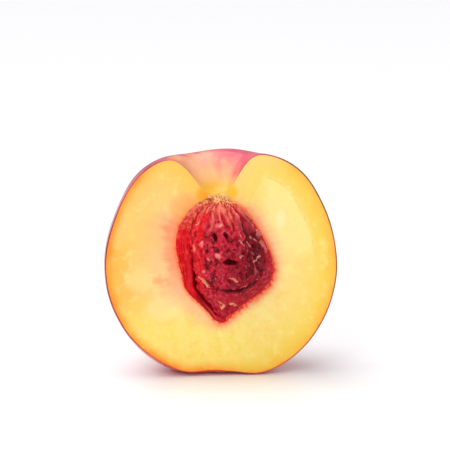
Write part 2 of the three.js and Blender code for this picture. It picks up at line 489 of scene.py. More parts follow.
def half_fruit_grid(sizes):
    """The rows of the half fruit's closed surface, what its materials need to know of each point, and
    which of them each row has: the hollow's wall, a small rounded corner, the cut face, a corner round
    the rim, and the skin."""
    turn = even_turns(sizes)
    edge = hollow_edge(turn, CLING.inside)
    edge_out = outward(egg_outline(HOLLOW, turn))
    rim = rim_outline(turn, sizes)
    rim_out = outward(rim)
    small = sizes.edge_round

    wall, around, height, fibre = hollow_wall(turn, edge, sizes)
    corner = bent_rows(edge, small * BACK, small * edge_out, ROWS.corner)[1:]
    cut = cut_rows(edge + edge_out * small, rim - rim_out * small)
    round_rim = bent_rows(rim, -small * rim_out, small * BACK, ROWS.rim)
    rings = np.concatenate([wall, corner, cut, round_rim, skin_rows(turn, sizes)])

    first_skin = len(wall) + len(corner) + len(cut)
    flesh = rings[:first_skin]
    fine = np.linspace(0, 2 * np.pi, 1600)
    ways = unit(rings)
    attributes = {
        "own_place": rings,
        "from_hollow": pad_rows(distance_to(hollow_edge(fine, 0), flesh), len(rings)),
        "from_skin": pad_rows(distance_to(rim_outline(fine, sizes), flesh), len(rings)),
        "in_hollow": (np.arange(len(rings)) < len(wall) + 1)[:, None] + 0.0 * turn,
        "fibre": pad_rows(fibre, len(rings)),
        "blush": np.broadcast_to(by_turn(BLUSH, turn), rings.shape[:2]),
        "halo_width": np.broadcast_to(by_turn(HALO, turn), rings.shape[:2]),
        "hollow_place": pad_rows(circle(around, height), len(rings)),
        "ring_place": np.broadcast_to(circle(turn), rings.shape),
        "from_stem": from_stem(ways),
        "meridian": ways * np.array([1.0, 1.0, 0.0]),
    }
    return rings, attributes, (np.arange(len(rings)) >= first_skin).astype(int)


def bent_rows(edge, start, end, steps):
    """Rows round a corner: from the edge plus start to the edge plus end in a quarter of a circle."""
    bend = np.linspace(0, np.pi / 2, steps + 1)[:, None, None]
    return edge + start * (1 - np.sin(bend)) + end * (1 - np.cos(bend))


def hollow_wall(turn, edge, sizes):
    """The rows of the hollow's wall, their angle round the hollow's axis, their height on it and that of
    their fibres.

    A row is the hollow's outline, shrunk towards its middle by the sine of an angle and as deep there as
    the egg is. It is drawn over to the stone by what FILL says, the fibres are raised, and the last rows
    are led out to the torn edge."""
    wide = egg_outline(HOLLOW, turn)
    share = np.sin(np.linspace(0, np.pi / 2 - 0.02, ROWS.hollow + 1)[1:, None])
    middle = np.array([egg_axis(HOLLOW, HOLLOW.middle), 0, HOLLOW.middle])
    wall = middle + share[..., None] * (wide - middle)
    height = (wall[..., 2] - HOLLOW.middle) / (HOLLOW.length / 2)
    aside = (wall[..., 0] - egg_axis(HOLLOW, wall[..., 2])) / (HOLLOW.width / 2)
    behind = np.sqrt(np.maximum(egg_girth(height) ** 2 - aside ** 2, 0))
    wall[..., 1] = HOLLOW.depth / 2 * behind
    around = np.arctan2(behind, aside)

    fibre = wall_fibres(around, height)
    near_edge = step(share, 0.86, 1)
    fill = by_turn(FILL, turn) * step(share, 1.0, SHELF)
    held = egg_point(STONE, np.arccos(np.clip(height, -1, 1)), around)
    wall = wall + (held - wall) * fill[..., None]
    wall = wall - grid_normals(wall) * (sizes.wall_relief * fibre * (1 - 0.7 * near_edge))[..., None]
    wall = wall + (edge - wide) * (near_edge ** 3)[..., None]
    wall[..., 1] = np.maximum(wall[..., 1], sizes.edge_round)
    return wall, around, height, fibre


def cut_rows(inner, outer):
    """Rows of the cut face from the hollow's edge to the rim, closer together at both, slightly
    uneven."""
    share = np.linspace(0, 1, ROWS.cut + 2)[1:-1, None, None]
    share = 0.45 * share + 0.55 * (1 - np.cos(np.pi * share)) / 2
    cut = inner + share * (outer - inner)
    cut[..., 1] += sum(height * wander(cut / size, seed) for size, height, seed in CUT_SWELLS)
    return cut


def skin_rows(turn, sizes):
    """Rows of skin from behind the rim to just short of straight back: unit vectors turned back from the
    cut plane by a growing angle, times the skin's radius."""
    share = np.linspace(0, 1, ROWS.skin + 1)[:-1, None]
    behind = np.radians(SKIN_START + (90 - SKIN_START) * (0.55 * share + 0.45 * share ** 1.9))
    way = vectors(np.cos(behind) * np.sin(turn), np.sin(behind), np.cos(behind) * np.cos(turn))
    return way * skin_radius(way, sizes)[..., None]


def wall_fibres(around, height):
    """Height of 0 to 1 of the fibres on the hollow's wall, which run from stem end to tip: sharp ridges
    of noise that changes fast round the axis and slowly along it."""
    place = circle(around, height) * WALL_FIBRES
    coarse = 1 - np.abs(wander(place, SEEDS.wall[0]))
    fine = 1 - np.abs(wander(place * 2.3, SEEDS.wall[1]))
    return np.clip(0.62 * coarse ** 2 + 0.38 * fine ** 2, 0, 1)


def distance_to(outline, rows):
    """Distance in the cut plane from each point to the nearest point of an outline, one row at a
    time."""
    flat = outline[:, (0, 2)]
    return np.stack([np.sqrt(((row[:, None, (0, 2)] - flat) ** 2).sum(-1).min(1)) for row in rows])


def pad_rows(values, rows):
    """The values, with the last row repeated so that there are as many rows as asked for."""
    return np.concatenate([values, np.repeat(values[-1:], rows - len(values), axis=0)])


# ---- The stone ----

def stone_grid(sizes):
    """The stone's rings of points with its relief, and what its material needs to know of each point."""
    down = np.linspace(0, np.pi, STONE_GRID.rows + 2)[1:-1, None]
    around = -np.linspace(0, 2 * np.pi, STONE_GRID.columns, endpoint=False)[None]
    smooth = egg_point(STONE, down, around)
    relief, attributes = stone_relief(smooth, around, sizes)
    rings = smooth + grid_normals(smooth) * relief[..., None]
    return rings, {"own_place": rings, **attributes}


def stone_relief(points, around, sizes):
    """How far each point of the stone stands out, and the marks that colour it.

    A net of winding furrows, drawn out from stem end to tip, over two sizes of lumps; fine ridges that
    fan out from the stem end; the pits, the ringed furrow and the clinging shreds in front."""
    x, y, z = points[..., 0], points[..., 1], points[..., 2]
    front = step(y, 0.6, -0.8)
    top = step(z, 8.5, 15.5)
    left = step(x, -4.6, -7.4) * front

    warp = vectors(*(wander(points / 3.0, seed) for seed in SEEDS.warp))
    crag = crags(points / CRAG + 0.45 * warp, SEEDS.crags)
    lumps = wander(points / 1.15 + 0.3 * warp, SEEDS.lumps)
    grain = wander(points / 0.5, SEEDS.grain)
    fan = circle(around, z) * FAN
    coarse = 1 - np.abs(wander(fan, SEEDS.ridges[0]) * 1.3)
    fine = 1 - np.abs(wander(fan * 2.1, SEEDS.ridges[1]) * 1.3)
    ridged = np.clip(0.6 * coarse + 0.4 * fine, 0, 1)

    ring, band = ringed_furrow(points)
    ring, band = ring * front, np.maximum(band, step(z, -6.5, -10.5)) * front
    pits = pit_depth(x, z) * front
    marks, shreds = clinging_shreds(points, front)

    rough = (1 - 0.5 * top) * (1 - 0.4 * band)
    relief = sizes.furrow_depth * (np.minimum(crag, 0.85) - 0.85) * rough
    relief += sizes.lump_height * lumps * rough + 0.14 * grain * (1 - 0.2 * band)
    relief += sizes.ridge_height * (ridged - 1) * np.maximum(np.maximum(top, 0.8 * left), 0.35 * band)
    relief -= ring
    relief -= np.maximum(pits - 0.3, 0) * sizes.pit_share
    relief += shreds

    # Painted shade: how deep each point lies in the creases, the ringed furrow and the pits, which
    # darkens its colour there
    sunk = step(crag + 0.25 * grain, 0.46, 0.1) * rough + 0.9 * ring + 0.8 * pits
    return relief, {
        "sunk": np.clip(sunk, 0, 1),
        "crest": np.clip(crag + 0.12 * lumps + 0.1 * grain, 0, 1),
        "ridged": ridged,
        "top": step(z, 9.5, 18.0),
        "band": band,
        "left": left,
        **marks,
    }


def ringed_furrow(points):
    """Depth of the furrow that runs along part of a ring, with a sway, and a mark for what lies outside
    it. It is deepest at the lower end of the ring."""
    across, up = points[..., 0] - FURROW.across, points[..., 2] - FURROW.up
    angle = np.degrees(np.arctan2(up, across))
    reach = np.hypot(across, up) + 0.35 * wander(points / 2.4, SEEDS.furrow)
    there = (step(angle, FURROW.start - 9, FURROW.start + 9)
             * step(angle, FURROW.end + 10, FURROW.end - 10))
    more = (FURROW.depth - FURROW.side_depth) * bell(angle, FURROW.deepest, FURROW.span)
    ring = there * (FURROW.side_depth + more) * bell(reach, FURROW.radius, FURROW.width)
    return ring, there * step(reach, FURROW.radius, FURROW.radius + 0.8)


def pit_depth(x, z):
    """Depth of the pits where they are, in millimetres: ovals, flat in the middle with steep sides."""
    depth = np.zeros_like(x)
    for across, up, wide, high, deep, tilt in PITS:
        along, aside = turned(x - across, z - up, tilt)
        depth = np.maximum(depth, deep * bell(np.hypot(along / wide, aside / high) ** 1.5, 0, 1.0))
    return depth


def turned(x, z, degrees):
    """Distances along a line through the origin, which rises by that angle, and to its upper side."""
    turn = np.radians(degrees)
    return x * np.cos(turn) + z * np.sin(turn), z * np.cos(turn) - x * np.sin(turn)


def clinging_shreds(points, front):
    """Marks of 0 to 1 for the pale, pink and red shreds on the front, the pink ones partly painted
    highlights of wet glints, and how high they stand: ovals with an uneven outline."""
    x, z = points[..., 0], points[..., 2]
    ragged = 0.6 * wander(points / 0.6, SEEDS.shreds)
    marks = {kind: np.zeros_like(x) for kind in SHREDS}
    height = np.zeros_like(x)
    for kind, shreds in SHREDS.items():
        for across, up, half_length, half_width, slope, high in shreds:
            along, aside = turned(x - across, z - up, slope)
            inside = step(np.hypot(along / half_length, aside / half_width) + ragged, 1.25, 0.55) * front
            marks[kind] = np.maximum(marks[kind], inside)
            height = np.maximum(height, high * inside)
    return marks, height


# ---- The torn fibres ----

def fibre_tubes(sizes):
    """Closed thin tubes: those in the gap on the left, then those from the stalk down over the stone."""
    chance = np.random.default_rng(SEEDS.fibres)
    lines = np.concatenate([gap_lines(chance, sizes.gap_count), stalk_lines(chance, sizes.stalk_count)])
    count = len(lines)
    along = np.linspace(0, 1, FIBRE_STEPS)[None]
    ahead = unit(np.gradient(lines, axis=1))
    aside = unit(np.cross(ahead, [0.3, 1.0, 0.2]))
    above = np.cross(ahead, aside)
    thick = sizes.thickness / 2 * chance.uniform(0.6, 1.5, count)[:, None] * np.sin(np.pi * along) ** 0.45
    face = np.linspace(0, 2 * np.pi, FIBRE_SIDES, endpoint=False)
    ring = aside[:, :, None] * np.cos(face)[:, None] + above[:, :, None] * np.sin(face)[:, None]
    return lines[:, :, None] + ring * thick[..., None, None]


def gap_lines(chance, count):
    """Lines down the gap: each runs from near the stem end towards the tip at its own place round the
    axis, with a sway, and at its own share of the way from the hollow's wall to the stone."""
    along = np.linspace(0, 1, FIBRE_STEPS)[None]
    start = chance.uniform(*GAP.start, count)[:, None]
    run = chance.uniform(*GAP.run, count)[:, None]
    down = np.radians(np.minimum(start + run * along, GAP.lowest))
    around = chance.uniform(*GAP.around, count)[:, None]
    around = np.radians(around + chance.normal(0, GAP.drift, count)[:, None] * along)
    sway = chance.uniform(0, 2 * np.pi, (count, 3))[..., None]
    around = around + 0.035 * np.sin(along * 7 + sway[:, 0]) + 0.02 * np.sin(along * 16 + sway[:, 1])
    share = chance.uniform(-0.06, 1.0, count)[:, None] * (1 - 0.65 * step(np.degrees(down), 55, 115))
    share = np.clip(share + 0.05 * np.sin(along * 9 + sway[:, 2]), -0.1, 0.98)
    wall = egg_point(HOLLOW, down, around)
    wall[..., 1] = np.maximum(wall[..., 1], 0)
    line = wall + (egg_point(STONE, down, around) - wall) * share[..., None]
    line[..., 1] = np.maximum(line[..., 1], -1.0)
    return line


def stalk_lines(chance, count):
    """Lines from the floor of the stem hollow down over the front of the stone: along its egg, lifted
    off it at their upper ends and spread to both sides there."""
    along = np.linspace(0, 1, FIBRE_STEPS)[None]
    run = chance.uniform(*STALK.run, count)[:, None]
    around = chance.uniform(*STALK.around, count)[:, None]
    around = np.radians(around + chance.normal(0, STALK.drift, count)[:, None] * along)
    around = around + 0.05 * np.sin(along * 9 + chance.uniform(0, 6, count)[:, None])
    line = egg_point(STONE, np.radians(run * along), around)
    upper = step(along, 0.45, 0.0)
    line[..., 0] += upper * (STALK.across + np.cos(around) * STALK.spread)
    line[..., 1] -= 0.12 + 0.1 * upper
    line[..., 2] += upper * chance.uniform(0.4, 1.0, count)[:, None] * STALK.rise
    return line


def put_tubes(name, tubes, material):
    """One mesh of closed tubes; tubes are counts of rings of points. The ring at each end has no width
    and is merged into one point."""
    one = np.arange(tubes[..., 0].size).reshape(tubes.shape[:3])
    side = np.roll(one, -1, axis=2)
    quads = np.stack([one[:, :-1], side[:, :-1], side[:, 1:], one[:, 1:]], -1).reshape(-1, 4)
    made = put_mesh(name, in_frame(tubes).reshape(-1, 3), quads.tolist(), np.zeros(len(quads)),
                    [material], {"own_place": tubes.reshape(-1, 3)})
    weld = made.modifiers.new("close_ends", "WELD")
    weld.merge_threshold = WELD_REACH
    return made


# ---- Materials ----

class Link:
    """An output of a node. Sums on it add Math nodes to its tree."""

    def __init__(self, nodes, socket):
        self.nodes = nodes
        self.socket = socket

    def __add__(self, other):
        return self.nodes.math("ADD", self, other)

    def __sub__(self, other):
        return self.nodes.math("SUBTRACT", self, other)

    def __rsub__(self, other):
        return self.nodes.math("SUBTRACT", other, self)

    def __mul__(self, other):
        return self.nodes.math("MULTIPLY", self, other)

    def __truediv__(self, other):
        return self.nodes.math("DIVIDE", self, other)

    def __pow__(self, other):
        return self.nodes.math("POWER", self, other)

    def __abs__(self):
        return self.nodes.math("ABSOLUTE", self, 0)

    __radd__ = __add__
    __rmul__ = __mul__


class Nodes:
    """Adds nodes to one tree and gives their outputs back as Links."""

    def __init__(self, tree):
        self.tree = tree
        tree.nodes.clear()

    def add(self, kind, settings=None, values=None, out=0):
        """One node: its settings, a ramp's stops among them, then the values or Links of its sockets by
        their identifiers. out is the place or the identifier of the output that is given back."""
        node = self.tree.nodes.new(kind)
        for name, setting in (settings or {}).items():
            if name == "stops":
                set_stops(node.color_ramp, setting)
            else:
                setattr(node, name, setting)
        sockets = {socket.identifier: socket for socket in node.inputs}
        for name, value in (values or {}).items():
            if isinstance(value, Link):
                self.tree.links.new(value.socket, sockets[name])
            else:
                sockets[name].default_value = value
        if not node.outputs:
            return None
        named = {socket.identifier: socket for socket in node.outputs}
        return Link(self, named[out] if isinstance(out, str) else node.outputs[out])

    def math(self, operation, one, other):
        return self.add("ShaderNodeMath", {"operation": operation}, {"Value": one, "Value_001": other})

    def step(self, value, low, high):
        """Nothing at low, one at high, and a smooth S between."""
        return self.add("ShaderNodeMapRange", {"interpolation_type": "SMOOTHSTEP"},
                        {"Value": value, "From Min": low, "From Max": high})

    def mix(self, one, other, share):
        """The colour one, replaced by the other as far as share says."""
        return self.add("ShaderNodeMix", {"data_type": "RGBA", "clamp_factor": True},
                        {"A_Color": one, "B_Color": other, "Factor_Float": share}, "Result_Color")

    def painted(self, colour, *layers):
        """The colour with (colour, share) layers laid over it, one after the other."""
        for other, share in layers:
            colour = self.mix(colour, other, share)
        return colour

    def ramp(self, value, *stops):
        """A colour read off a ramp of (place, colour) stops."""
        return self.add("ShaderNodeValToRGB", {"stops": stops}, {"Fac": value})

    def attribute(self, name, out="Fac"):
        return self.add("ShaderNodeAttribute", {"attribute_name": name}, out=out)

    def noise(self, vector, size, detail=2.0, roughness=0.5):
        """Noise of 0 to 1 whose features are about that size, in the vector's own units."""
        return self.add("ShaderNodeTexNoise", None,
                        {"Vector": vector, "Scale": 1 / size, "Detail": detail, "Roughness": roughness})

    def streaks(self, name, across, along=1.0, detail=2.0, roughness=0.5):
        """Noise of 0 to 1 on an attribute that goes round an axis: so many features across a unit of it,
        and so many along the axis."""
        values = {"Vector": self.attribute(name, "Vector"), "Vector_001": (across, across, along)}
        stretched = self.add("ShaderNodeVectorMath", {"operation": "MULTIPLY"}, values)
        return self.noise(stretched, 1.0, detail, roughness)

    def spots(self, vector, size):
        """Distance to the nearest of scattered points that are about that size apart, as a share of
        it."""
        return self.add("ShaderNodeTexVoronoi", None, {"Vector": vector, "Scale": 1 / size})

    def place(self, axes):
        """The place in the fruit's own frame in millimetres, as a vector and as the numbers asked
        for."""
        vector = self.attribute("own_place", "Vector")
        split = [self.add("ShaderNodeSeparateXYZ", None, {"Vector": vector}, axis) for axis in axes]
        return vector, *split

    def blob(self, x, z, across, up, wide, high):
        """One in the middle of an oval in the cut plane and nothing outside it."""
        reach = ((x - across) / wide) ** 2 + ((z - up) / high) ** 2
        return self.step(reach, 1, 0)

    def patches(self, x, z, table, within=1.0):
        """Layers for painted from rows of across, up, half width, half height, colour and share."""
        return [(tone(*colour), self.blob(x, z, *oval) * within * share)
                for *oval, colour, share in table]

    def surface(self, finish, colour, roughness, coat, height):
        """Ends the tree in one Principled shader: a row of FINISHES, what varies over the surface, and a
        bump of that height in millimetres."""
        normal = self.add("ShaderNodeBump", None, {"Height": height, "Distance": MM, "Strength": 1.0})
        self.end({**finish, "Base Color": colour, "Roughness": roughness, "Coat Weight": coat,
                  "Normal": normal})

    def end(self, values):
        """Ends the tree in one Principled shader with these values and Links."""
        shader = self.add("ShaderNodeBsdfPrincipled", None, values)
        self.add("ShaderNodeOutputMaterial", None, {"Surface": shader})


def set_stops(color_ramp, stops):
    """Gives a colour ramp these (place, colour) stops, in rising order, and no others."""
    elements = color_ramp.elements
    for _ in stops[len(elements):]:
        elements.new(1.0)
    for element, (place, colour) in zip(elements, stops):
        element.position = place
        element.color = colour


def tone(red, green, blue):
    """A colour of 0 to 255, as paint programs give it, in a shader's own linear values."""
    share = np.array([red, green, blue]) / 255
    linear = np.where(share <= 0.04045, share / 12.92, ((share + 0.055) / 1.055) ** 2.4)
    return (*linear.tolist(), 1.0)


def tones(**colours):
    """Colours by their names, each given as paint programs do."""
    return Sizes(**{name: tone(*colour) for name, colour in colours.items()})


def finish(specular, depth, spread, reach, coat_roughness):
    """What is the same all over a surface: the strength of its reflections, how much light goes in, how
    far red, green and blue spread there, as shares of a reach in millimetres, and how blurred its coat
    is."""
    return {"Specular IOR Level": specular, "Subsurface Weight": depth, "Subsurface Radius": spread,
            "Subsurface Scale": reach * MM, "Coat Roughness": coat_roughness}


FINISHES = Sizes(
    flesh=finish(0.16, 0.28, (1.0, 0.42, 0.14), 3.0, 0.18),
    skin=finish(0.16, 0.08, (1.0, 0.3, 0.15), 1.5, 0.09),
    stone=finish(0.08, 0.1, (1.0, 0.25, 0.15), 1.0, 0.1),
    fibre=finish(0.12, 0.2, (1.0, 0.3, 0.15), 0.8, 0.15),
)

# Flesh from the skin inwards, left and right: share of its depth in millimetres, and colour.
FLESH_DEPTH = 16
LEFT_FLESH = ((0.08, tone(246, 164, 56)), (0.18, tone(240, 183, 78)), (0.36, tone(238, 189, 90)),
              (0.6, tone(239, 200, 116)))
RIGHT_FLESH = ((0.0, tone(246, 160, 52)), (0.07, tone(242, 188, 68)), (0.24, tone(240, 204, 84)),
               (0.42, tone(241, 211, 108)))

# The pale field is partly painted sheen, and the wet tone is a painted highlight.
FLESH = tones(
    green_gold=(247, 225, 120), straw=(240, 206, 126), pale_cloud=(246, 228, 148),
    deep_cloud=(240, 198, 84), gold=(236, 210, 70), pale_field=(244, 230, 156), smudge=(243, 146, 86),
    wet=(250, 240, 200),
    vein=(226, 196, 88), salmon_ray=(238, 142, 88), pale_ray=(248, 220, 156), salmon=(238, 128, 82),
    orange=(246, 116, 62), ochre=(242, 200, 92), cream=(246, 212, 124), string=(254, 232, 160),
    dark_string=(246, 176, 110),
)
# The low tone of the wall is painted shade in the lower hollow.
WALL = tones(
    deep=(232, 10, 32), bright_strand=(252, 96, 78), low=(176, 12, 34), dark_strand=(110, 4, 22),
    pink_strand=(246, 92, 84), dark_salmon=(216, 56, 52), salmon=(248, 116, 92), cream=(253, 208, 132),
)
# The stem hollow's pink, peach and pale tones here stand partly or wholly for painted highlights, and the
# underside tone partly for painted light bounced from the floor.
SKIN = tones(
    bright_cloud=(206, 50, 44), streak=(198, 50, 50), dot=(226, 120, 84), underside=(226, 72, 54),
    shoulder=(210, 84, 88), plum=(160, 20, 56), rose=(192, 58, 86), orange=(234, 146, 92),
    pink=(216, 74, 98), peach=(240, 166, 132), pale=(242, 190, 158), cream=(242, 188, 128),
    pink_cream=(236, 138, 116), olive=(206, 176, 24),
)
# The rosy mottles are partly the stone's own mottling and partly painted glints; the pinks of the shreds
# are partly painted highlights.
STONE_TONES = tones(
    dark_mottle=(96, 3, 22), rosy_mottle=(222, 108, 130), band=(176, 20, 42), ridge=(208, 84, 94),
    crown_gap=(190, 18, 34), film=(196, 6, 26), bright_film=(242, 40, 48), red=(226, 4, 22),
    dark_pink=(226, 96, 100), pink=(244, 150, 142),
)
FIBRE = tones(bright=(250, 60, 56), dark_salmon=(216, 56, 50))


def new_material(name):
    """An empty material and its Nodes."""
    material = bpy.data.materials.new(name)
    material.use_nodes = True
    return material, Nodes(material.node_tree)


def flesh_material(made):
    """Cut flesh: orange by the skin and paler within, yellower on the right, peach and red round the
    hollow, with faint veins and mottles; the hollow's wall is wet red with paler fibres."""
    material, n = new_material("nectarine_flesh")
    place, x, z = n.place("XZ")
    soft = n.noise(place, 7.0, 3.0)
    fine = n.noise(place, 1.4, 3.0)

    inward = (n.attribute("from_skin") + 2.6 * (soft - 0.5)) / FLESH_DEPTH
    left = n.ramp(inward, (0.0, made.flesh_rim), *LEFT_FLESH, (1.0, made.flesh_left))
    right = n.ramp(inward, *RIGHT_FLESH, (1.0, made.flesh_right))
    colour = n.mix(left, right, n.step(x + 8 * (soft - 0.5), -7, 9))
    colour = flesh_mottles(n, colour, place, x, z)
    colour = flesh_veins(n, colour, x, z, soft)
    colour = round_hollow(n, colour, place, x, z, soft, made)
    colour = round_stalk(n, colour, x, z, fine)
    wall, strands = wall_colour(n, z, made)
    in_hollow = n.attribute("in_hollow")
    colour = n.mix(colour, wall, n.step(in_hollow, 0.2, 0.8))

    wet = n.step(n.noise(place, 2.2), 0.4, 0.65)
    n.surface(FINISHES.flesh, colour,
              roughness=0.44 - 0.12 * wet - 0.12 * in_hollow,
              coat=0.05 + 0.08 * wet,
              height=0.05 * fine + 0.02 * n.noise(place, 0.4) + 0.05 * in_hollow * strands)
    return material


def flesh_mottles(n, colour, place, x, z):
    """Greenish gold low down, straw at the upper left and clouds all over; then a pale field on the
    right, partly painted sheen, with a painted highlight on it, a whitish wet spot, and a salmon smudge
    and the patches of FLESH_PATCHES on the left."""
    from_skin = n.attribute("from_skin")
    within = n.step(from_skin, 0.5, 4.0)
    clouds = n.noise(place, 3.6, 4.0, 0.6)
    low = n.step(z, -6, -20) * n.step(x, 16, -2)
    upper = n.step(z, 6, 20) * n.step(x, 0, -10)
    gold = n.step(n.noise(place, 2.2, 4.0, 0.65), 0.48, 0.66) * n.step(z, -8, -22)
    # Paler flesh inside the vein on the right, partly painted sheen
    field = n.step(from_skin, 5.6, 7.6) * n.step(x, 9, 15) * n.step(z, -1, 7)
    smudge = n.blob(x, z, -17.5, -3.9, 4.2, 2.4) * n.step(n.noise(place, 1.6, 3.0), 0.35, 0.6)
    return n.painted(
        colour,
        (FLESH.green_gold, low * within * 0.75),
        (FLESH.straw, upper * within * 0.5),
        (FLESH.pale_cloud, n.step(clouds, 0.48, 0.72) * within * 0.5),
        (FLESH.deep_cloud, n.step(clouds, 0.46, 0.3) * within * 0.4),
        (FLESH.gold, gold * 0.5),
        # Partly painted sheen: paler flesh on the right
        (FLESH.pale_field, field * 0.55),
        (FLESH.smudge, smudge * 0.6),
        *n.patches(x, z, FLESH_PATCHES, within),
        # Painted highlight: a whitish wet spot of sheen on the right
        (FLESH.wet, n.blob(x, z, 17.5, 13.5, 1.8, 3.4) * 0.4),
    )


def flesh_veins(n, colour, x, z, soft):
    """A thin broken line inside the skin at the upper right, and fine rays out of the hollow's left
    side."""
    vein = n.step(abs(n.attribute("from_skin") - 6.6 - 1.2 * (soft - 0.5)), 0.4, 0.0)
    broken = n.step(n.streaks("ring_place", 12), 0.4, 0.6)
    rays = n.streaks("ring_place", 44, detail=3.0, roughness=0.6)
    near = n.step(n.attribute("from_hollow"), 9, 1) * n.step(x, 4, -8) * n.step(z, -12, -4)
    return n.painted(
        colour,
        (FLESH.vein, vein * broken * n.step(x, 6, 12) * n.step(z, -6, 6) * 0.5),
        (FLESH.salmon_ray, n.step(rays, 0.54, 0.68) * near * 0.5),
        (FLESH.pale_ray, n.step(rays, 0.44, 0.3) * near * 0.35),
    )


def round_hollow(n, colour, place, x, z, soft, made):
    """A peach halo as wide as its attribute says and deeper beside the hollow, then orange and red
    flesh at the torn edge, as wide and as ragged as the attribute blush says."""
    from_hollow = n.attribute("from_hollow")
    blush = n.attribute("blush")
    rays = n.streaks("ring_place", 11)
    reach = from_hollow / n.attribute("halo_width") + 0.5 * (rays - 0.5) + 0.6 * (soft - 0.5)
    halo = n.step(reach, 1.0, 0.0)
    beside = n.step(x, -5, -9) * n.step(z, -8, 1) + 0.7 * n.step(x, 2, 6)
    run = from_hollow + (0.2 + 3.2 * blush) * (n.noise(place, 1.0, 3.0, 0.6) - 0.5)
    return n.painted(
        colour,
        (made.halo, halo * 0.8),
        (FLESH.salmon, n.step(halo, 0.6, 1.0) * beside * 0.6),
        (FLESH.orange, n.step(run, 0.5 + 2.2 * blush, 0.0) * 0.85),
        (made.stain, n.step(run, 0.95 * blush, 0.4 * blush - 0.3)),
    )


def round_stalk(n, colour, x, z, fine):
    """Ochre to cream flesh under the stem hollow, the patches of STALK_PATCHES on it and cream
    strings."""
    below = n.step(n.attribute("from_stem"), 42, 26) * n.step(n.attribute("from_skin"), 8, 1)
    strings = n.mix(FLESH.string, FLESH.dark_string, n.step(fine, 0.4, 0.6))
    return n.painted(
        colour,
        (n.mix(FLESH.ochre, FLESH.cream, n.step(x, -2, 4)), below * 0.8),
        *n.patches(x, z, STALK_PATCHES),
        (strings, n.blob(x, z, -0.8, 20.6, 3.2, 1.6)),
    )


def wall_colour(n, z, made):
    """Colour and strands of the hollow's wall: deep red between the fibres, brighter on them, painted
    shade low down in the hollow with dark and pink strands there, salmon and cream towards the stem end."""
    strands = n.streaks("hollow_place", 22, 2.5, detail=3.0)
    bright = n.step(n.attribute("fibre") + 0.6 * (strands - 0.5), 0.3, 0.8)
    low = n.step(z, 3, -6)
    up = z + 6 * (strands - 0.5)
    salmon = n.mix(WALL.dark_salmon, WALL.salmon, n.step(strands, 0.4, 0.58))
    colour = n.painted(
        WALL.deep,
        (made.wall, bright),
        (WALL.bright_strand, n.step(strands, 0.62, 0.8) * 0.4),
        # Painted shade low down in the hollow
        (WALL.low, n.step(z, -4, -14) * 0.5),
        (WALL.dark_strand, n.step(strands, 0.52, 0.36) * low * 0.7),
        (WALL.pink_strand, n.step(strands, 0.56, 0.7) * low * 0.5),
        (salmon, n.step(up, 8, 18) * 0.8),
        (WALL.cream, n.step(up, 17.5, 21) * 0.85),
    )
    return colour, strands


def skin_material(made):
    """Thin glossy skin: crimson with darker and lighter clouds, faint streaks and small pale dots, redder
    and lighter underneath, partly painted light bounced up from the floor, and pinker on the left
    shoulder; the stem hollow is ringed with plum and rose."""
    material, n = new_material("nectarine_skin")
    place, x, y, z = n.place("XYZ")
    from_stalk = n.attribute("from_stem")
    clouds = n.noise(place, 14, 4.0, 0.6)
    flecks = n.noise(place, 1.8, 3.0, 0.65)
    streaks = n.streaks("meridian", 60, detail=3.0, roughness=0.6)
    shoulder = n.step(from_stalk, 78, 46) * n.step(y, 9, 1) * n.step(x, -4, -12)
    reach = from_stalk + 14 * (n.streaks("meridian", 7) - 0.5) + 8 * (clouds - 0.5)
    colour = n.painted(
        made.skin_dark,
        (made.skin_light, n.step(clouds - 0.007 * z, 0.28, 0.72)),
        (SKIN.bright_cloud, n.step(n.noise(place, 22), 0.55, 0.78) * 0.45),
        (SKIN.streak, n.step(flecks + 0.8 * (streaks - 0.5), 0.55, 0.75) * 0.3),
        (SKIN.dot, n.step(n.spots(place, 2.1), 0.16, 0.06) * 0.4),
        # Lighter red underneath: partly the skin's own, partly painted light bounced up from the floor
        (SKIN.underside, n.step(z + 10 * (clouds - 0.5), -17, -32) * 0.85),
        (SKIN.shoulder, shoulder * 0.75),
        (SKIN.plum, n.step(reach, 40, 31) * 0.85),
        (SKIN.rose, n.step(reach, 34, 27) * 0.9),
    )
    colour = stem_hollow(n, colour, place, x, z, clouds, reach, made)
    floor = n.mix(made.stem_floor, SKIN.olive, n.step(streaks, 0.35, 0.7))
    n.surface(FINISHES.skin, n.mix(colour, floor, n.step(from_stalk, 14, 9) * 0.9),
              roughness=0.34 + 0.1 * (clouds - 0.5),
              coat=0.2 + 0.35 * n.step(from_stalk, 30, 48) + 0.1 * (flecks - 0.5),
              height=0.02 * flecks + 0.012 * n.noise(place, 0.5))
    return material


def stem_hollow(n, colour, place, x, z, clouds, reach, made):
    """The stem hollow's sides, orange on the left and pink on the right, with peach patches and a pale
    patch, and its cream lower part; the pink and the peach are partly painted highlights of a sheen on
    the red skin, and the pale patch is a painted highlight. "reach" is the angle from its middle line,
    made uneven."""
    # The pink right side is partly a painted highlight of a sheen on the red skin
    side = n.painted(
        SKIN.orange,
        (made.stem_pink, n.step(x + 5 * (clouds - 0.5), -9, 0)),
        (SKIN.pink, n.step(x + 5 * (clouds - 0.5), -3, 5) * 0.85),
    )
    inside = n.step(reach, 27, 20)
    patches = n.step(n.noise(place, 5.0), 0.42, 0.58) * n.step(x, 3, -4)
    cream = n.mix(SKIN.cream, SKIN.pink_cream, n.step(x + 3 * (clouds - 0.5), 1, 6))
    return n.painted(
        colour,
        (side, n.step(reach, 25, 18) * 0.9),
        # Peach patches, partly painted highlight, and a pale patch that is a painted highlight
        (SKIN.peach, patches * inside * 0.55),
        (SKIN.pale, n.blob(x, z, -4.6, 29.5, 5.5, 4.0) * inside * 0.6),
        (cream, n.step(reach, 18, 11) * 0.9),
    )


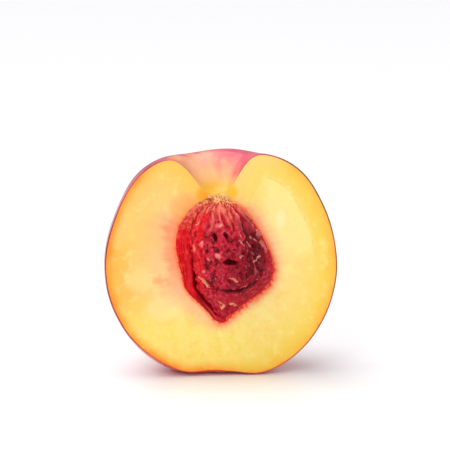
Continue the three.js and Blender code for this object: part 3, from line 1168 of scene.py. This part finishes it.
def stone_material(made):
    """Wet, grainy stone: maroon with rosy crests and rosy mottles that are partly painted glints, painted
    shade near black in the furrows and pits and painted shade on the right, salmon at the stem end,
    smoother red at the side and tip, with pale shreds, pink shreds that are partly painted highlights,
    and films of red flesh."""
    material, n = new_material("nectarine_stone")
    place, x, z = n.place("XZ")
    ridged, band, crest, top = (n.attribute(name) for name in ("ridged", "band", "crest", "top"))
    speckle = n.noise(place, 0.6, 3.0, 0.7)
    mottles = n.noise(place, 1.3, 3.0, 0.6)
    clouds = n.noise(place, 2.2, 4.0, 0.65)
    uneven_ridges = ridged + 0.5 * (speckle - 0.5)
    crown = n.mix(STONE_TONES.crown_gap, made.crown, n.step(uneven_ridges, 0.4, 0.85))
    film = n.mix(STONE_TONES.film, STONE_TONES.bright_film, n.step(ridged, 0.4, 0.9))
    pink = n.mix(STONE_TONES.dark_pink, STONE_TONES.pink, n.step(mottles, 0.42, 0.6))
    colour = n.painted(
        made.deep,
        (made.crest, n.step(0.4 * crest + clouds, 0.44, 0.86)),
        (STONE_TONES.dark_mottle, n.step(mottles + 0.3 * (speckle - 0.5), 0.48, 0.34) * 0.5),
        # Rosy flecks: partly mottling, partly painted glints of the wet stone
        (STONE_TONES.rosy_mottle, n.step(mottles + 0.5 * (speckle - 0.5), 0.54, 0.74) * 0.6),
        # Painted shade on the right of the stone
        *n.patches(x, z, STONE_PAINTED_SHADE),
        (STONE_TONES.band, band * 0.55),
        (STONE_TONES.ridge, n.step(uneven_ridges, 0.84, 0.98) * (n.step(x, 2, 7) * (1 - top)) * 0.55),
        (crown, top * 0.85),
        # Painted shade on the right of the crown
        *n.patches(x, z, CROWN_PAINTED_SHADE),
        (film, n.attribute("left") * 0.8),
        # Painted shade, near black, in the furrows and pits
        (made.furrow, n.step(n.attribute("sunk") + 0.6 * (speckle - 0.5), 0.25, 1.1) * 0.8),
        (STONE_TONES.red, n.attribute("red") * 0.85),
        # Pink shreds, partly painted highlights of wet glints
        (pink, n.attribute("pink") * 0.75),
        (made.shred, n.attribute("pale") * 0.85),
    )
    n.surface(FINISHES.stone, colour,
              roughness=0.36 + 0.2 * speckle - 0.1 * band,
              coat=0.02 + 0.7 * n.step(n.noise(place, 0.8), 0.55, 0.66),
              height=0.16 * speckle * (1 - 0.6 * band))
    return material


def fibre_material(made):
    """Fibres: cream at the stalk, salmon below it, wet red further down."""
    material, n = new_material("torn_fibre")
    place, z = n.place("Z")
    streak = n.noise(place, 1.2)
    fine = n.noise(place, 0.5)
    up = z + 5 * (streak - 0.5)
    salmon = n.mix(FIBRE.dark_salmon, made.salmon, n.step(streak + 0.8 * (fine - 0.5), 0.38, 0.56))
    colour = n.painted(
        made.red,
        (FIBRE.bright, n.step(streak, 0.45, 0.75)),
        (salmon, n.step(up, 8, 16) * 0.85),
        (made.cream, n.step(up + 4 * (fine - 0.5), 18, 20.5) * 0.9),
    )
    n.surface(FINISHES.fibre, colour,
              roughness=0.32 + 0.1 * streak,
              coat=0.1 * streak,
              height=0.03 * streak)
    return material


# ---- Settings ----

def length(name, description, millimetres):
    """A length setting, given in millimetres and kept in metres."""
    return FloatProperty(name=name, description=description, default=millimetres * MM, unit="LENGTH")


def amount(name, description, default, **kind):
    """A number setting, with its unit, subtype or limits where it has them."""
    return FloatProperty(name=name, description=description, default=default, **kind)


def how_many(name, description, default):
    """A setting for how many there are of something, one at least."""
    return IntProperty(name=name, description=description, default=default, min=1)


def shade(name, description, red, green, blue):
    """A colour setting, given as paint programs do."""
    return FloatVectorProperty(name=name, description=description, size=4, subtype="COLOR", min=0, max=1,
                               default=tone(red, green, blue))


class HalfSettings(bpy.types.PropertyGroup):
    radius: length("Radius", "Skin's mean distance from the fruit's centre", 34.2)
    cheek_drop: length("Cheek Drop", "How much flatter the cheek is than a ball", 2.4)
    stem_depth: length("Stem Hollow", "Depth of the pit the stem grew in", 13.0)
    unevenness: length("Unevenness", "Height of the slow swells of the skin", 0.14)
    edge_round: length("Edge Radius", "Rounding where the knife left the skin", 0.22)
    wall_relief: length("Wall Relief", "Height of the fibres in the hollow's wall", 0.7)
    flesh_rim: shade("Flesh by the Skin", "Flesh just under the skin on the left", 252, 136, 36)
    flesh_left: shade("Flesh, Left", "Flesh in the middle of the left side", 243, 211, 140)
    flesh_right: shade("Flesh, Right", "Flesh in the middle of the right side", 243, 215, 135)
    halo: shade("Halo", "Flesh round the hollow", 250, 172, 132)
    stain: shade("Stain", "Flesh at the hollow's torn edge", 240, 40, 34)
    wall: shade("Hollow's Wall", "Fibres in the hollow's wall", 248, 26, 42)
    skin_dark: shade("Skin, Dark", "Darkest clouds of the skin", 104, 6, 28)
    skin_light: shade("Skin, Light", "Lightest clouds of the skin", 166, 14, 36)
    # Partly painted highlight: the pink of the stem hollow's right side
    stem_pink: shade("Stem Hollow, Pink", "Right side of the stem hollow", 236, 132, 128)
    stem_floor: shade("Stem Hollow, Floor", "Floor of the stem hollow", 238, 172, 34)


class StoneSettings(bpy.types.PropertyGroup):
    furrow_depth: length("Furrow Depth", "Depth of the winding furrows", 1.1)
    lump_height: length("Lump Height", "Height of the lumps between the furrows", 0.32)
    ridge_height: length("Ridge Height", "Height of the ridges from the stem end", 0.9)
    pit_share: amount("Pits", "Depth of the pits, as a share of their full depth", 1.0,
                      subtype="FACTOR", min=0, max=2)
    deep: shade("Deep", "Stone low down between its crests", 150, 8, 28)
    crest: shade("Crest", "Stone on its crests", 204, 32, 54)
    crown: shade("Crown", "Ridges at the stem end", 250, 132, 108)
    # Painted shade on the floor of the furrows and pits
    furrow: shade("Furrow", "Floor of the furrows and pits", 62, 2, 10)
    shred: shade("Shred", "Pale shreds that cling to the stone", 238, 148, 112)


class FibreSettings(bpy.types.PropertyGroup):
    gap_count: how_many("Fibres in the Gap", "How many lie left of the stone", 150)
    stalk_count: how_many("Fibres of the Stalk", "How many run down over the stone", 46)
    thickness: length("Thickness", "Diameter of a fibre in its middle", 0.26)
    red: shade("Red", "Lower fibres", 232, 10, 32)
    salmon: shade("Salmon", "Fibres beside the stem end", 250, 126, 96)
    cream: shade("Cream", "Fibres at the stalk", 252, 206, 128)


class StageSettings(bpy.types.PropertyGroup):
    floor_size: amount("Floor", "Side of the square floor", 8.0, unit="LENGTH")
    floor_colour: shade("Floor Colour", "Colour of the floor", 249, 248, 250)
    sky: amount("Sky", "Brightness of the light from all round", 0.62)
    key: amount("Key", "Power of the light at the upper left", 4.0, unit="POWER")
    front: amount("Front", "Power of the low light in front", 2.5, unit="POWER")
    overhead: amount("Overhead", "Strength of the even light from above", 1.9)
    glint: amount("Glint", "Power of the small light that makes wet parts sparkle", 0.9, unit="POWER")
    azimuth: amount("Azimuth", "Camera's angle round the fruit", np.radians(-6), unit="ROTATION")
    elevation: amount("Elevation", "Camera's angle above the floor", np.radians(12), unit="ROTATION")
    distance: length("Distance", "From the camera to the middle of the fruit", 550)
    lens: amount("Lens", "Focal length in millimetres", 151.1)


# ---- Operators ----

class HalfOperator(bpy.types.Operator):
    """Builds the half fruit: cut flesh, hollow and skin in one closed mesh"""

    bl_idname = "nectarine.half_fruit"
    bl_label = "Half Fruit"

    def execute(self, context):
        sizes = read(context.scene.nectarine_half)
        rings, attributes, kinds = half_fruit_grid(sizes)
        bottom = np.array([egg_axis(HOLLOW, HOLLOW.middle), HOLLOW.depth / 2, HOLLOW.middle])
        placed = in_frame(rings)
        placed[..., 2] = np.maximum(placed[..., 2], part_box("half_fruit")[0].z)
        piece = put_grid("cut_fruit", placed, in_frame(bottom), in_frame(BACK * skin_radius(BACK, sizes)),
                         attributes, kinds, [flesh_material(sizes), skin_material(sizes)])
        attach(piece, "root")
        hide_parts("half_fruit")
        return {"FINISHED"}


class StoneOperator(bpy.types.Operator):
    """Builds the stone with its furrows, pits and clinging shreds"""

    bl_idname = "nectarine.stone"
    bl_label = "Stone"

    def execute(self, context):
        sizes = read(context.scene.nectarine_stone)
        rings, attributes = stone_grid(sizes)
        stem_end, tip = in_frame(egg_point(STONE, np.array([0, np.pi]), np.array([0, 0])))
        piece = put_grid("fruit_stone", in_frame(rings), stem_end, tip, attributes,
                         np.zeros(len(rings), int), [stone_material(sizes)])
        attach(piece, "root")
        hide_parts("stone")
        return {"FINISHED"}


class FibreOperator(bpy.types.Operator):
    """Builds the fibres torn between the stone and the left wall of its hollow"""

    bl_idname = "nectarine.fibres"
    bl_label = "Torn Fibres"

    def execute(self, context):
        sizes = read(context.scene.nectarine_fibres)
        piece = put_tubes("torn_fibres", fibre_tubes(sizes), fibre_material(sizes))
        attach(piece, "root")
        return {"FINISHED"}


class StageOperator(bpy.types.Operator):
    """Builds the floor, the lights and the camera"""

    bl_idname = "nectarine.stage"
    bl_label = "Stage"

    def execute(self, context):
        settings = context.scene.nectarine_stage
        centre = fruit_centre()
        put_floor(settings)
        put_sky(settings)
        for name, (kind, offset, size) in LIGHTS.items():
            put_light(name, kind, centre, Vector(offset), size, getattr(settings, name))
        put_camera(settings, centre)
        context.scene.view_settings.view_transform = "Standard"
        return {"FINISHED"}


def put_floor(settings):
    """A square of floor, as low as the frame's lowest point."""
    half = settings.floor_size / 2
    level = CAD_BOX[0].z
    corners = [(-half, -half, level), (half, -half, level), (half, half, level), (-half, half, level)]
    mesh = bpy.data.meshes.new("floor")
    mesh.from_pydata(corners, [], [(0, 1, 2, 3)])
    material, n = new_material("pale_floor")
    place = n.add("ShaderNodeTexCoord", out="Object")
    n.end({"Base Color": tuple(settings.floor_colour),
           "Roughness": 0.32 + 0.04 * n.noise(place, 0.04),
           "Specular IOR Level": 0.3})
    mesh.materials.append(material)
    show("floor", mesh)


def put_sky(settings):
    """Even light from all round, a little brighter from above than from the sides."""
    world = bpy.data.worlds.new("studio")
    world.use_nodes = True
    n = Nodes(world.node_tree)
    way = n.add("ShaderNodeTexCoord", out="Generated")
    up = n.add("ShaderNodeSeparateXYZ", None, {"Vector": way}, "Z")
    sky = n.ramp(up, (0.0, (0.95, 0.95, 0.96, 1)), (0.6, (1.0, 1.0, 1.0, 1)))
    light = n.add("ShaderNodeBackground", None, {"Color": sky, "Strength": settings.sky})
    n.add("ShaderNodeOutputWorld", None, {"Surface": light})
    bpy.context.scene.world = world


def facing(way):
    """The turn that makes a light or a camera look that way."""
    return way.to_track_quat("-Z", "Y").to_euler()


def put_light(name, kind, centre, offset, size, strength):
    """A light at its offset from the fruit's centre, turned to it: a round soft one, or a sun whose
    light comes from a patch of sky that many degrees wide."""
    data = bpy.data.lights.new(name, kind)
    data.energy = strength
    if kind == "SUN":
        data.angle = np.radians(size)
    else:
        data.shape = "DISK"
        data.size = size
    made = show(name, data)
    made.location = centre + offset
    made.rotation_euler = facing(-offset)


def put_camera(settings, centre):
    """A long lens at its angle and distance from the fruit's centre, aimed a little above and to the
    right of it, so that the fruit stands low in the picture."""
    data = bpy.data.cameras.new("camera")
    data.lens = settings.lens
    data.sensor_width = 36.0
    data.clip_start = 0.05
    data.clip_end = 50.0
    made = show("camera", data)
    a, e = settings.azimuth, settings.elevation
    back = Vector((np.sin(a) * np.cos(e), -np.cos(a) * np.cos(e), np.sin(e)))
    right = (-back).cross(Vector((0, 0, 1))).normalized()
    above = right.cross(-back)
    made.location = centre + back * settings.distance
    aim = centre + above * AIM.above * MM + right * AIM.right * MM
    made.rotation_euler = facing(aim - made.location)
    bpy.context.scene.camera = made


# ---- Panel and start ----

class NectarinePanel(bpy.types.Panel):
    """Lists what can be built, with its sizes"""

    bl_idname = "VIEW3D_PT_nectarine"
    bl_label = "Nectarine"
    bl_space_type = "VIEW_3D"
    bl_region_type = "UI"
    bl_category = "Nectarine"

    def draw(self, context):
        for name, _, operator in PARTS:
            settings = getattr(context.scene, name)
            box = self.layout.box()
            for setting in settings.bl_rna.properties.keys():
                if setting not in ("rna_type", "name"):
                    box.prop(settings, setting)
            box.operator(operator.bl_idname)


PARTS = (
    ("nectarine_half", HalfSettings, HalfOperator),
    ("nectarine_stone", StoneSettings, StoneOperator),
    ("nectarine_fibres", FibreSettings, FibreOperator),
    ("nectarine_stage", StageSettings, StageOperator),
)


def register():
    for name, group, operator in PARTS:
        bpy.utils.register_class(group)
        setattr(bpy.types.Scene, name, PointerProperty(type=group))
        bpy.utils.register_class(operator)
    bpy.utils.register_class(NectarinePanel)


def unregister():
    bpy.utils.unregister_class(NectarinePanel)
    for name, group, operator in reversed(PARTS):
        bpy.utils.unregister_class(operator)
        delattr(bpy.types.Scene, name)
        bpy.utils.unregister_class(group)


def main():
    register()
    bpy.ops.nectarine.half_fruit()
    bpy.ops.nectarine.stone()
    bpy.ops.nectarine.fibres()
    bpy.ops.nectarine.stage()


if __name__ == "__main__":
    main()
